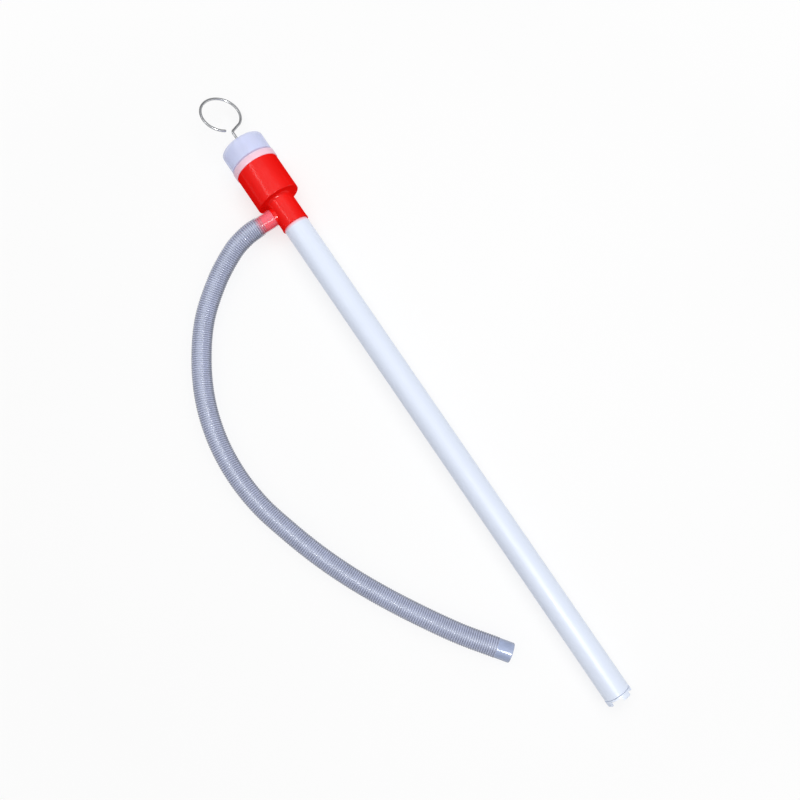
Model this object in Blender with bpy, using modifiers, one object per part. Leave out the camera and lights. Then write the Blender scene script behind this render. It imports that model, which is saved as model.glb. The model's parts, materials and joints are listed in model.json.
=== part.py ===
"""Hand bilge pump with a lift piston, a push-on cap and a corrugated discharge hose.

The pump is modelled upright in its own frame: local Z runs up the barrel from the tube's foot
end (Z = 0) to the handle, and local X points to the discharge spigot. An empty then lays it on
the floor, so that it rests on the rim of the foot plug and on the skirt of the cap. In the
world frame +X runs from the foot to the handle, +Y points to the hose and +Z is up.
"""

import math

import bmesh
import bpy
from mathutils import Matrix, Vector

MM = 0.001

# Gaps, and the chamfer on moulded and cut edges
TOUCH_GAP = 0.3 * MM
TUBE_SOCKET_GAP = 0.15 * MM
EDGE = 0.4 * MM

# Barrel tube
TUBE_RADIUS = 12.5 * MM
TUBE_BORE_RADIUS = 11.0 * MM
TUBE_TOP = 527.6 * MM

# Pump body: neck, chamber and rim
NECK_FOOT = 516.0 * MM
NECK_RADIUS = 13.45 * MM
NECK_LIP_RADIUS = 13.7 * MM
NECK_LIP_HEIGHT = 1.8 * MM
SOCKET_TOP = TUBE_TOP + 0.4 * MM
THROAT_RADIUS = 10.3 * MM
SHOULDER_HEIGHT = 545.6 * MM
SHOULDER_ROUND = 1.0 * MM
NECK_FILLET = 3.0 * MM
CHAMBER_RADIUS = 21.65 * MM
CHAMBER_WALL = 1.8 * MM
CHAMBER_FLOOR = 1.8 * MM
RIM_RADIUS = 21.1 * MM
RIM_TOP = 587.6 * MM

# Discharge spigot, square to the barrel
SPIGOT_HEIGHT = 533.7 * MM
SPIGOT_RADIUS = 7.8 * MM
SPIGOT_BORE_RADIUS = 5.5 * MM
SPIGOT_END = 31.4 * MM
BOSS_RADIUS = 8.8 * MM
BOSS_END = 13.5 * MM
SPIGOT_ROOT = 2.0 * MM

# Cap
SKIRT_FOOT = 582.7 * MM
SKIRT_RADIUS = 22.4 * MM
SKIRT_BORE_RADIUS = 21.4 * MM
CAP_STEP = 589.5 * MM
CAP_RADIUS = 21.8 * MM
CAP_TOP = 610.0 * MM
CAP_ROUND = 1.8 * MM
CAP_WALL = 1.7 * MM
CAP_TOP_WALL = 1.6 * MM
GROOVE_DEPTH = 0.35 * MM
GROOVE_WIDTH = 0.4 * MM
GROOVE_RISE = 0.2 * MM
CAP_HOLE_RADIUS = 3.2 * MM
GASKET_THICKNESS = 1.0 * MM
COLLAR_RADIUS = 4.8 * MM
COLLAR_HEIGHT = 1.0 * MM

# Pull rod and finger ring
ROD_RADIUS = 1.25 * MM
ROD_HOLE_RADIUS = 1.35 * MM
ROD_FOOT = 33.0 * MM
ROD_BEND = 627.4 * MM
BEND_CORNER = 2.6 * MM
BEND_RISE = math.radians(20)
RING_CENTRE = 647.6 * MM
RING_HALF_LENGTH = 18.5 * MM
RING_HALF_WIDTH = 20.0 * MM
RING_TURN = math.radians(30)
RING_START_ANGLE = math.radians(38)
RING_END_ANGLE = math.radians(344)

# Foot plug and foot valve
FLANGE_RADIUS = 12.8 * MM
FLANGE_FOOT = -1.9 * MM
LUG_FOOT = -5.4 * MM
LUG_INNER_RADIUS = 10.6 * MM
LUG_GAP_WIDTH = 11.4 * MM
LUG_TURN = math.radians(66)
PLUG_RADIUS = 10.75 * MM
PLUG_TOP = 13.3 * MM
INLET_RADIUS = 8.0 * MM
SEAT_LEDGE = 10.7 * MM
LEDGE_THICKNESS = 1.0 * MM
SEAT_RECESS_RADIUS = 8.6 * MM
SEAT_RADIUS = 8.3 * MM
SEAT_BORE_RADIUS = 5.2 * MM
SEAT_CHAMFER = 0.9 * MM
WEB_THICKNESS = 1.4 * MM
WEB_HEIGHT = 2.5 * MM
WEB_INSET = 0.6 * MM
BALL_RADIUS = 7.0 * MM
BALL_HEIGHT = 17.3 * MM
CAGE_RADIUS = 10.5 * MM
CAGE_WALL = 1.7 * MM
CAGE_TOP_HOLE_RADIUS = 5.0 * MM
CAGE_PLATE_FOOT = 27.3 * MM
CAGE_PLATE_TOP = 28.8 * MM
CAGE_WINDOW_WIDTH = 9.0 * MM
CAGE_BASE_BAND = 1.7 * MM
CAGE_TOP_BAND = 0.8 * MM

# Piston stack, listed from its foot end upwards
LOCK_NUT_FOOT = 34.0 * MM
NUT_HEIGHT = 2.0 * MM
NUT_ACROSS_FLATS = 5.0 * MM
NUT_BORE_RADIUS = 1.4 * MM
WASHER_RADIUS = 4.0 * MM
WASHER_THICKNESS = 0.7 * MM
PISTON_FOOT = 39.6 * MM
PISTON_RADIUS = 9.8 * MM
PISTON_PLATE = 2.8 * MM
HUB_RADIUS = 3.4 * MM
HUB_TOP = 45.5 * MM
CUP_BASE_THICKNESS = 1.2 * MM
CUP_LIP_RADIUS = 10.88 * MM
CUP_LIP_TOP = 49.5 * MM
CUP_LIP_THICKNESS = 1.0 * MM
CUP_HEEL = 1.5 * MM
CUP_BODY_HEIGHT = 3.5 * MM
SPREADER_RADIUS = 9.0 * MM
DISC_RADIUS = 8.4 * MM
DISC_BORE_RADIUS = 2.6 * MM
DISC_THICKNESS = 1.0 * MM
SPACER_RADIUS = 2.4 * MM
SPACER_HEIGHT = 4.0 * MM
PORT_COUNT = 6
PORT_RADIUS = 1.5 * MM
PORT_CIRCLE_RADIUS = 6.2 * MM

# Hose
HOSE_RADIUS = 9.5 * MM
HOSE_LEAD = 1.2 * MM
HOSE_POINT_SPACING = 22.0 * MM
CUFF_RADIUS = 8.8 * MM
CUFF_BORE_RADIUS = 8.1 * MM
CUFF_START = 13.8 * MM
CUFF_END = 31.9 * MM
END_CUFF_RADIUS = 9.1 * MM
END_CUFF_BORE_RADIUS = 7.9 * MM
END_CUFF_LENGTH = 14.2 * MM

# The way the pump lies: from the foot plug's rim to the edge of the cap's skirt
LIE_ANGLE = math.atan2(SKIRT_RADIUS - FLANGE_RADIUS, SKIRT_FOOT - FLANGE_FOOT)
FOOT_AXIS_HEIGHT = FLANGE_RADIUS * math.cos(LIE_ANGLE) - FLANGE_FOOT * math.sin(LIE_ANGLE)
RING_TOP = RING_CENTRE + RING_HALF_LENGTH + ROD_RADIUS
FOOT_X = -(RING_TOP + LUG_FOOT) / 2
AXIS_Y = -(SPIGOT_END - SKIRT_RADIUS) / 2

# The hose's route over the floor after the spigot: world X, Y and height of its middle, in mm
HOSE_ROUTE_MM = [
    (201.2, 43.5, 21.3),
    (196.4, 60.0, 19.4),
    (182.8, 86.3, 14.8),
    (159.8, 115.7, 10.3),
    (129.5, 138.8, 9.65),
    (95.9, 156.2, 9.65),
    (59.8, 166.8, 9.65),
    (22.7, 170.4, 9.65),
    (-14.1, 167.4, 9.65),
    (-49.6, 158.5, 9.65),
    (-84.2, 147.3, 9.65),
    (-117.7, 133.6, 9.65),
    (-149.9, 117.7, 9.65),
    (-181.1, 100.2, 9.65),
    (-211.4, 81.5, 9.65),
    (-239.6, 61.2, 9.65),
]

ON_AXIS = [(0.0, 0.0)]
BODY_STEPS = 48
SMALL_STEPS = 32
FINE_STEPS = 24
MERGE = 0.00001


# ---------------------------------------------------------------- scene and materials


def clear_scene():
    for obj in list(bpy.data.objects):
        bpy.data.objects.remove(obj)


def new_collection(name):
    collection = bpy.data.collections.new(name)
    bpy.context.scene.collection.children.link(collection)
    return collection


def new_material(name, colour, roughness, metallic=0.0, alpha=1.0):
    material = bpy.data.materials.new(name)
    material.use_nodes = True
    shader = material.node_tree.nodes["Principled BSDF"]
    shader.inputs["Base Color"].default_value = (*colour, 1.0)
    shader.inputs["Roughness"].default_value = roughness
    shader.inputs["Metallic"].default_value = metallic
    shader.inputs["Alpha"].default_value = alpha
    return material


# ---------------------------------------------------------------- modelling helpers


def add_object(name, data, collection, parent=None, material=None):
    obj = bpy.data.objects.new(name, data)
    collection.objects.link(obj)
    obj.parent = parent
    if material:
        data.materials.append(material)
    return obj


def arc(centre, radius, start_degrees, end_degrees, count):
    """Points of a round stretch of a profile, as (radius from the axis, height)."""
    points = []
    for i in range(count + 1):
        angle = math.radians(start_degrees + (end_degrees - start_degrees) * i / count)
        points.append((centre[0] + radius * math.cos(angle), centre[1] + radius * math.sin(angle)))
    return points


def turned(name, profile, collection, parent, material=None, steps=BODY_STEPS, closed=True):
    """A profile at +X turned about Z. It runs down its outer side, and up the bore if closed."""
    mesh = bpy.data.meshes.new(name)
    vertices = [(radius, 0.0, height) for radius, height in profile]
    edges = [(i, i + 1) for i in range(len(profile) - 1)]
    if closed:
        edges.append((len(profile) - 1, 0))
    mesh.from_pydata(vertices, edges, [])
    obj = add_object(name, mesh, collection, parent, material)
    screw = obj.modifiers.new("turn", "SCREW")
    screw.axis = "Z"
    screw.steps = steps
    screw.render_steps = steps
    screw.use_merge_vertices = True
    screw.merge_threshold = MERGE
    screw.use_smooth_shade = True
    return obj


def ring(name, outer, inner, foot, top, collection, parent, material=None, steps=SMALL_STEPS):
    """A plain flat or tubular ring."""
    profile = [(outer, top), (outer, foot), (inner, foot), (inner, top)]
    return turned(name, profile, collection, parent, material, steps)


def box(name, size, centre, turn, collection, parent):
    mesh = bpy.data.meshes.new(name)
    shape = bmesh.new()
    bmesh.ops.create_cube(shape, size=1.0)
    bmesh.ops.scale(shape, vec=size, verts=shape.verts)
    shape.to_mesh(mesh)
    shape.free()
    obj = add_object(name, mesh, collection, parent)
    obj.location = centre
    obj.rotation_euler = (0.0, 0.0, turn)
    return obj


def prism(name, sides, radius, foot, top, places, collection, parent):
    """Upright prisms or cylinders, one for each (x, y) place."""
    mesh = bpy.data.meshes.new(name)
    shape = bmesh.new()
    for x, y in places:
        bmesh.ops.create_cone(
            shape,
            cap_ends=True,
            segments=sides,
            radius1=radius,
            radius2=radius,
            depth=top - foot,
            matrix=Matrix.Translation((x, y, (foot + top) / 2)),
        )
    shape.to_mesh(mesh)
    shape.free()
    return add_object(name, mesh, collection, parent)


def combine(obj, operand, operation):
    """A Boolean on obj. The operand stays in the scene as a guide."""
    operand.hide_render = True
    operand.display_type = "WIRE"
    modifier = obj.modifiers.new(operation.lower(), "BOOLEAN")
    modifier.operation = operation
    modifier.solver = "EXACT"
    modifier.object = operand


def lie_along_x(obj, height):
    """Turns a piece made about Z so that its axis is local X, at a height on the barrel."""
    obj.rotation_euler = (0.0, math.radians(90), 0.0)
    obj.location = (0.0, 0.0, height)


# ---------------------------------------------------------------- fixed parts of the pump


def make_tube(parts, frame, material):
    profile = [
        (TUBE_RADIUS - EDGE, TUBE_TOP),
        (TUBE_RADIUS, TUBE_TOP - EDGE),
        (TUBE_RADIUS, EDGE),
        (TUBE_RADIUS - EDGE, 0.0),
        (TUBE_BORE_RADIUS, 0.0),
        (TUBE_BORE_RADIUS, TUBE_TOP),
    ]
    turned("barrel_tube", profile, parts, frame, material)


def make_body(parts, cutters, frame, material):
    corner = (CHAMBER_RADIUS - SHOULDER_ROUND, SHOULDER_HEIGHT + SHOULDER_ROUND)
    fillet_centre = (NECK_RADIUS + NECK_FILLET, SHOULDER_HEIGHT - NECK_FILLET)
    lip_top = NECK_FOOT + NECK_LIP_HEIGHT
    outline = [(0.0, RIM_TOP), (RIM_RADIUS - EDGE, RIM_TOP), (RIM_RADIUS, RIM_TOP - EDGE)]
    outline += [(RIM_RADIUS, SKIRT_FOOT - TOUCH_GAP), (CHAMBER_RADIUS, SKIRT_FOOT - TOUCH_GAP)]
    outline += arc(corner, SHOULDER_ROUND, 0, -90, 3)
    outline += arc(fillet_centre, NECK_FILLET, 90, 180, 4)
    outline += [
        (NECK_RADIUS, lip_top + EDGE),
        (NECK_LIP_RADIUS, lip_top),
        (NECK_LIP_RADIUS, NECK_FOOT + EDGE),
        (NECK_LIP_RADIUS - EDGE, NECK_FOOT),
        (0.0, NECK_FOOT),
    ]
    body = turned("pump_body", outline, parts, frame, material, closed=False)

    spigot_outline = [
        (0.0, SPIGOT_END),
        (SPIGOT_RADIUS - EDGE, SPIGOT_END),
        (SPIGOT_RADIUS, SPIGOT_END - EDGE),
        (SPIGOT_RADIUS, BOSS_END),
        (BOSS_RADIUS - EDGE, BOSS_END),
        (BOSS_RADIUS, BOSS_END - EDGE),
        (BOSS_RADIUS, SPIGOT_ROOT),
        (0.0, SPIGOT_ROOT),
    ]
    spigot = turned("spigot_form", spigot_outline, cutters, frame, steps=SMALL_STEPS, closed=False)
    lie_along_x(spigot, SPIGOT_HEIGHT)
    combine(body, spigot, "UNION")

    overshoot = 5.0 * MM
    inner_radius = CHAMBER_RADIUS - CHAMBER_WALL
    socket_radius = TUBE_RADIUS + TUBE_SOCKET_GAP
    chamber_foot = SHOULDER_HEIGHT + CHAMBER_FLOOR
    hollow_outline = [
        (0.0, RIM_TOP + overshoot),
        (inner_radius, RIM_TOP + overshoot),
        (inner_radius, chamber_foot),
        (THROAT_RADIUS, chamber_foot),
        (THROAT_RADIUS, SOCKET_TOP),
        (socket_radius, SOCKET_TOP),
        (socket_radius, NECK_FOOT - overshoot),
        (0.0, NECK_FOOT - overshoot),
    ]
    hollow = turned("hollow_form", hollow_outline, cutters, frame, closed=False)
    combine(body, hollow, "DIFFERENCE")

    bore = prism(
        "spigot_bore_form", 24, SPIGOT_BORE_RADIUS, SPIGOT_ROOT / 2, SPIGOT_END + overshoot,
        ON_AXIS, cutters, frame,
    )
    lie_along_x(bore, SPIGOT_HEIGHT)
    combine(body, bore, "DIFFERENCE")


def make_foot_plug(parts, cutters, frame, material):
    profile = [
        (PLUG_RADIUS, PLUG_TOP),
        (PLUG_RADIUS, -TOUCH_GAP),
        (FLANGE_RADIUS, -TOUCH_GAP),
        (FLANGE_RADIUS, LUG_FOOT + EDGE),
        (FLANGE_RADIUS - EDGE, LUG_FOOT),
        (LUG_INNER_RADIUS, LUG_FOOT),
        (LUG_INNER_RADIUS, FLANGE_FOOT),
        (INLET_RADIUS, FLANGE_FOOT),
        (INLET_RADIUS, SEAT_LEDGE - 2 * LEDGE_THICKNESS),
        (SEAT_BORE_RADIUS, SEAT_LEDGE - LEDGE_THICKNESS),
        (SEAT_BORE_RADIUS, SEAT_LEDGE),
        (SEAT_RECESS_RADIUS, SEAT_LEDGE),
        (SEAT_RECESS_RADIUS, PLUG_TOP),
    ]
    plug = turned("foot_valve_body", profile, parts, frame, material)
    overlap = 1.0 * MM
    gap_height = FLANGE_FOOT - LUG_FOOT + overlap
    gap_size = (LUG_GAP_WIDTH, 4 * FLANGE_RADIUS, gap_height)
    gap_centre = (0.0, 0.0, FLANGE_FOOT - gap_height / 2)
    web_size = (2 * INLET_RADIUS + overlap, WEB_THICKNESS, WEB_HEIGHT)
    web_centre = (0.0, 0.0, FLANGE_FOOT + WEB_INSET + WEB_HEIGHT / 2)
    for i in range(2):
        turn = LUG_TURN + i * math.radians(90)
        gap = box(f"lug_gap_form_{i}", gap_size, gap_centre, turn, cutters, frame)
        combine(plug, gap, "DIFFERENCE")
        web = box(f"web_form_{i}", web_size, web_centre, turn, cutters, frame)
        combine(plug, web, "UNION")


def make_foot_valve(parts, cutters, frame, seat_material, ball_material, cage_material):
    seat_foot = SEAT_LEDGE + TOUCH_GAP
    seat_top = PLUG_TOP
    seat_profile = [
        (SEAT_RADIUS, seat_top),
        (SEAT_RADIUS, seat_foot),
        (SEAT_BORE_RADIUS, seat_foot),
        (SEAT_BORE_RADIUS, seat_top - SEAT_CHAMFER),
        (SEAT_BORE_RADIUS + SEAT_CHAMFER, seat_top),
    ]
    turned("foot_valve_seat_ring", seat_profile, parts, frame, seat_material, SMALL_STEPS)

    mesh = bpy.data.meshes.new("foot_valve_ball")
    shape = bmesh.new()
    bmesh.ops.create_uvsphere(shape, u_segments=20, v_segments=12, radius=BALL_RADIUS)
    shape.to_mesh(mesh)
    shape.free()
    mesh.shade_smooth()
    ball = add_object("foot_valve_ball", mesh, parts, frame, ball_material)
    ball.location = (0.0, 0.0, BALL_HEIGHT)

    cage_foot = PLUG_TOP + TOUCH_GAP
    cage_inner = CAGE_RADIUS - CAGE_WALL
    cage_profile = [
        (CAGE_RADIUS - EDGE, CAGE_PLATE_TOP),
        (CAGE_RADIUS, CAGE_PLATE_TOP - EDGE),
        (CAGE_RADIUS, cage_foot),
        (cage_inner, cage_foot),
        (cage_inner, CAGE_PLATE_FOOT),
        (CAGE_TOP_HOLE_RADIUS, CAGE_PLATE_FOOT),
        (CAGE_TOP_HOLE_RADIUS, CAGE_PLATE_TOP),
    ]
    cage = turned("foot_valve_cage", cage_profile, parts, frame, cage_material, SMALL_STEPS)
    window_foot = cage_foot + CAGE_BASE_BAND
    window_height = CAGE_PLATE_FOOT - CAGE_TOP_BAND - window_foot
    window_size = (CAGE_WINDOW_WIDTH, 4 * CAGE_RADIUS, window_height)
    window_centre = (0.0, 0.0, window_foot + window_height / 2)
    for i in range(2):
        turn = i * math.radians(90)
        window = box(f"window_form_{i}", window_size, window_centre, turn, cutters, frame)
        combine(cage, window, "DIFFERENCE")


# ---------------------------------------------------------------- cap


def make_cap(parts, frame, cap_material, gasket_material, grommet_material):
    inner_radius = CAP_RADIUS - CAP_WALL
    inner_top = CAP_TOP - CAP_TOP_WALL
    gasket_foot = RIM_TOP + TOUCH_GAP
    gasket_top = gasket_foot + GASKET_THICKNESS
    inner_step = gasket_top + TOUCH_GAP
    groove_foot = CAP_STEP + GROOVE_RISE
    groove_top = groove_foot + GROOVE_WIDTH
    profile = arc((CAP_RADIUS - CAP_ROUND, CAP_TOP - CAP_ROUND), CAP_ROUND, 90, 0, 5)
    profile += [
        (CAP_RADIUS, groove_top + GROOVE_DEPTH),
        (CAP_RADIUS - GROOVE_DEPTH, groove_top),
        (CAP_RADIUS - GROOVE_DEPTH, groove_foot),
        (SKIRT_RADIUS - EDGE, CAP_STEP),
        (SKIRT_RADIUS, CAP_STEP - EDGE),
        (SKIRT_RADIUS, SKIRT_FOOT),
        (SKIRT_BORE_RADIUS, SKIRT_FOOT),
        (SKIRT_BORE_RADIUS, inner_step),
        (inner_radius, inner_step),
        (inner_radius, inner_top),
        (CAP_HOLE_RADIUS, inner_top),
        (CAP_HOLE_RADIUS, CAP_TOP),
    ]
    turned("cap", profile, parts, frame, cap_material)
    gasket_outer = SKIRT_BORE_RADIUS - TOUCH_GAP
    ring("cap_gasket", gasket_outer, inner_radius, gasket_foot, gasket_top, parts, frame,
         gasket_material, BODY_STEPS)

    barrel = CAP_HOLE_RADIUS - TOUCH_GAP
    lower = inner_top - TOUCH_GAP
    upper = CAP_TOP + TOUCH_GAP
    grommet_profile = [
        (COLLAR_RADIUS - EDGE, upper + COLLAR_HEIGHT),
        (COLLAR_RADIUS, upper + COLLAR_HEIGHT - EDGE),
        (COLLAR_RADIUS, upper),
        (barrel, upper),
        (barrel, lower),
        (COLLAR_RADIUS, lower),
        (COLLAR_RADIUS, lower - COLLAR_HEIGHT),
        (ROD_HOLE_RADIUS, lower - COLLAR_HEIGHT),
        (ROD_HOLE_RADIUS, upper + COLLAR_HEIGHT),
    ]
    turned("rod_grommet", grommet_profile, parts, frame, grommet_material, FINE_STEPS)


# ---------------------------------------------------------------- piston and pull rod


def ring_point(lateral, height):
    """A point in the finger ring's plane, which is turned about the rod."""
    return Vector((-lateral * math.cos(RING_TURN), -lateral * math.sin(RING_TURN), height))


def rod_points():
    """The wire's middle: up the rod, round the bend and round the finger ring."""
    points = [ring_point(0.0, ROD_FOOT)]
    bend_steps = 5
    for i in range(bend_steps + 1):
        t = i / bend_steps
        before = (1 - t) * (1 - t) * BEND_CORNER
        after = t * t * BEND_CORNER
        height = ROD_BEND - before + after * math.sin(BEND_RISE)
        points.append(ring_point(after * math.cos(BEND_RISE), height))
    ring_steps = 34
    for i in range(ring_steps + 1):
        angle = RING_START_ANGLE + (RING_END_ANGLE - RING_START_ANGLE) * i / ring_steps
        lateral = RING_HALF_WIDTH * math.sin(angle)
        points.append(ring_point(lateral, RING_CENTRE - RING_HALF_LENGTH * math.cos(angle)))
    return points


def tube_curve(name, points, radius, resolution, collection, parent, material):
    curve = bpy.data.curves.new(name, "CURVE")
    curve.dimensions = "3D"
    curve.bevel_depth = radius
    curve.bevel_resolution = resolution
    curve.use_fill_caps = True
    spline = curve.splines.new("POLY")
    spline.points.add(len(points) - 1)
    for spline_point, point in zip(spline.points, points):
        spline_point.co = (*point, 1.0)
    spline.use_smooth = True
    return add_object(name, curve, collection, parent, material)


def make_rod(parts, cutters, frame, steel, zinc):
    tube_curve("pull_rod", rod_points(), ROD_RADIUS, 2, parts, frame, steel)
    nut_step = NUT_HEIGHT + TOUCH_GAP
    stop_washer_foot = HUB_TOP + TOUCH_GAP + SPACER_HEIGHT + TOUCH_GAP
    nuts = {
        "rod_lock_nut": LOCK_NUT_FOOT,
        "rod_nut_lower": LOCK_NUT_FOOT + nut_step,
        "stop_nut": stop_washer_foot + WASHER_THICKNESS + TOUCH_GAP,
    }
    corner_radius = NUT_ACROSS_FLATS / 2 / math.cos(math.radians(30))
    for name, foot in nuts.items():
        top = foot + NUT_HEIGHT
        nut = prism(name, 6, corner_radius, foot, top, ON_AXIS, parts, frame)
        nut.data.materials.append(zinc)
        bore = prism(f"{name}_bore_form", 16, NUT_BORE_RADIUS, foot - MM, top + MM, ON_AXIS,
                     cutters, frame)
        combine(nut, bore, "DIFFERENCE")
    washer_foot = LOCK_NUT_FOOT + 2 * nut_step
    ring("rod_washer", WASHER_RADIUS, ROD_HOLE_RADIUS, washer_foot, washer_foot + WASHER_THICKNESS,
         parts, frame, zinc)
    ring("valve_stop_washer", WASHER_RADIUS, ROD_HOLE_RADIUS, stop_washer_foot,
         stop_washer_foot + WASHER_THICKNESS, parts, frame, zinc)
    spacer_foot = HUB_TOP + TOUCH_GAP
    ring("valve_spacer", SPACER_RADIUS, ROD_HOLE_RADIUS, spacer_foot, spacer_foot + SPACER_HEIGHT,
         parts, frame, zinc, FINE_STEPS)


def make_piston(parts, cutters, frame, plastic, rubber):
    plate_top = PISTON_FOOT + PISTON_PLATE
    body_profile = [
        (HUB_RADIUS, HUB_TOP),
        (HUB_RADIUS, plate_top),
        (PISTON_RADIUS, plate_top),
        (PISTON_RADIUS, PISTON_FOOT + EDGE),
        (PISTON_RADIUS - EDGE, PISTON_FOOT),
        (ROD_HOLE_RADIUS, PISTON_FOOT),
        (ROD_HOLE_RADIUS, HUB_TOP),
    ]
    body = turned("piston_body", body_profile, parts, frame, plastic, SMALL_STEPS)

    base_foot = plate_top + TOUCH_GAP
    base_top = base_foot + CUP_BASE_THICKNESS
    hub_hole = HUB_RADIUS + TOUCH_GAP
    spreader_hole = SPREADER_RADIUS + TOUCH_GAP
    body_top = base_foot + CUP_BODY_HEIGHT
    cup_profile = [
        (CUP_LIP_RADIUS - CUP_LIP_THICKNESS / 2, CUP_LIP_TOP),
        (CUP_LIP_RADIUS, CUP_LIP_TOP - CUP_LIP_THICKNESS / 2),
        (CUP_LIP_RADIUS, body_top),
        (CUP_LIP_RADIUS - EDGE, base_foot + CUP_HEEL),
        (CUP_LIP_RADIUS - CUP_HEEL, base_foot),
        (hub_hole, base_foot),
        (hub_hole, base_top),
        (spreader_hole, base_top),
        (spreader_hole, body_top),
        (CUP_LIP_RADIUS - CUP_LIP_THICKNESS, CUP_LIP_TOP),
    ]
    cup = turned("piston_cup_seal", cup_profile, parts, frame, rubber, BODY_STEPS)

    spreader_foot = base_top + TOUCH_GAP
    spreader = ring("piston_cup_spreader", SPREADER_RADIUS, hub_hole, spreader_foot, HUB_TOP,
                    parts, frame, plastic)

    places = []
    for i in range(PORT_COUNT):
        angle = 2 * math.pi * i / PORT_COUNT
        places.append((PORT_CIRCLE_RADIUS * math.cos(angle), PORT_CIRCLE_RADIUS * math.sin(angle)))
    ports = prism("port_form", 12, PORT_RADIUS, PISTON_FOOT - MM, HUB_TOP + MM, places,
                  cutters, frame)
    for piece in (body, cup, spreader):
        combine(piece, ports, "DIFFERENCE")

    disc_foot = HUB_TOP + TOUCH_GAP
    ring("piston_valve_disc", DISC_RADIUS, DISC_BORE_RADIUS, disc_foot, disc_foot + DISC_THICKNESS,
         parts, frame, rubber)


# ---------------------------------------------------------------- hose


def smooth_curve(points, way_out, spacing):
    """Evenly spaced points on a Catmull-Rom curve through the points, leaving along way_out."""
    first_step = (points[1] - points[0]).length
    ends = [points[1] - 2 * first_step * way_out] + points + [2 * points[-1] - points[-2]]
    fine = []
    pieces = 24  # fine points on each stretch of the route
    for i in range(1, len(ends) - 2):
        before, start, end, after = ends[i - 1 : i + 3]
        for k in range(pieces):
            t = k / pieces
            slope_start = (end - before) / 2
            slope_end = (after - start) / 2
            fine.append(
                (2 * t**3 - 3 * t**2 + 1) * start
                + (t**3 - 2 * t**2 + t) * slope_start
                + (3 * t**2 - 2 * t**3) * end
                + (t**3 - t**2) * slope_end
            )
    fine.append(points[-1])
    lengths = [0.0]
    for a, b in zip(fine, fine[1:]):
        lengths.append(lengths[-1] + (b - a).length)
    count = round(lengths[-1] / spacing)
    spaced = []
    k = 0
    for i in range(count + 1):
        target = lengths[-1] * i / count
        while k < len(lengths) - 2 and lengths[k + 1] < target:
            k += 1
        share = (target - lengths[k]) / (lengths[k + 1] - lengths[k])
        spaced.append(fine[k].lerp(fine[k + 1], share))
    return spaced


def make_hose(parts, frame, frame_matrix, hose_material, cuff_material):
    outlet_profile = [
        (CUFF_RADIUS - EDGE, CUFF_END),
        (CUFF_RADIUS, CUFF_END - EDGE),
        (CUFF_RADIUS, CUFF_START + EDGE),
        (CUFF_RADIUS - EDGE, CUFF_START),
        (CUFF_BORE_RADIUS, CUFF_START),
        (CUFF_BORE_RADIUS, CUFF_END),
    ]
    outlet = turned("hose_outlet_cuff", outlet_profile, parts, frame, cuff_material, SMALL_STEPS)
    lie_along_x(outlet, SPIGOT_HEIGHT)

    start = frame_matrix @ Vector((CUFF_END + TOUCH_GAP, 0.0, SPIGOT_HEIGHT))
    lead_end = frame_matrix @ Vector((CUFF_END + TOUCH_GAP + HOSE_LEAD, 0.0, SPIGOT_HEIGHT))
    route = [Vector(point) * MM for point in HOSE_ROUTE_MM]
    way_out = (lead_end - start).normalized()
    points = [start] + smooth_curve([lead_end] + route, way_out, HOSE_POINT_SPACING)
    tube_curve("outlet_hose", points, HOSE_RADIUS, 4, parts, None, hose_material)

    way = (points[-1] - points[-2]).normalized()
    end_profile = [
        (END_CUFF_RADIUS - EDGE, END_CUFF_LENGTH),
        (END_CUFF_RADIUS, END_CUFF_LENGTH - EDGE),
        (END_CUFF_RADIUS, 0.0),
        (END_CUFF_BORE_RADIUS, 0.0),
        (END_CUFF_BORE_RADIUS, END_CUFF_LENGTH),
    ]
    end_cuff = turned("hose_end_cuff", end_profile, parts, None, cuff_material, SMALL_STEPS)
    end_cuff.location = points[-1] + way * TOUCH_GAP
    end_cuff.rotation_mode = "QUATERNION"
    end_cuff.rotation_quaternion = way.to_track_quat("Z", "Y")


# ---------------------------------------------------------------- assembly


def main():
    clear_scene()
    parts = new_collection("bilge_pump")
    cutters = new_collection("cutters")

    frame = bpy.data.objects.new("pump_frame", None)
    parts.objects.link(frame)
    cos, sin = math.cos(LIE_ANGLE), math.sin(LIE_ANGLE)
    frame_matrix = Matrix((
        (0.0, -sin, cos, FOOT_X),
        (1.0, 0.0, 0.0, AXIS_Y),
        (0.0, cos, sin, FOOT_AXIS_HEIGHT),
        (0.0, 0.0, 0.0, 1.0),
    ))
    frame.matrix_world = frame_matrix

    red = new_material("red_plastic", (0.78, 0.02, 0.015), 0.22)
    pale = new_material("pale_plastic", (0.80, 0.82, 0.92), 0.35)
    milky = new_material("milky_plastic", (0.86, 0.86, 0.93), 0.4, alpha=0.9)
    clear = new_material("clear_grey_plastic", (0.62, 0.63, 0.70), 0.3, alpha=0.6)
    inner = new_material("natural_plastic", (0.80, 0.80, 0.78), 0.45)
    rubber = new_material("black_rubber", (0.03, 0.03, 0.03), 0.7)
    steel = new_material("steel_wire", (0.62, 0.62, 0.64), 0.25, metallic=1.0)
    zinc = new_material("zinc_steel", (0.66, 0.67, 0.70), 0.35, metallic=1.0)

    make_tube(parts, frame, pale)
    make_body(parts, cutters, frame, red)
    make_foot_plug(parts, cutters, frame, pale)
    make_foot_valve(parts, cutters, frame, rubber, steel, inner)
    make_cap(parts, frame, milky, rubber, inner)
    make_rod(parts, cutters, frame, steel, zinc)
    make_piston(parts, cutters, frame, inner, rubber)
    make_hose(parts, frame, frame_matrix, clear, clear)


main()
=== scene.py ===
"""Looks of the hand bilge pump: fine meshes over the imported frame, materials, floor, light and camera.

Sizes are in millimetres. The hose's length and route, the camera, the floor, the lamps and whatever
the frame gives are in metres. The pump's pieces are modelled upright in the pump's own frame: local Z
runs up the barrel from the tube's foot end, local X points to the spigot.
"""

import json
import math

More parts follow.
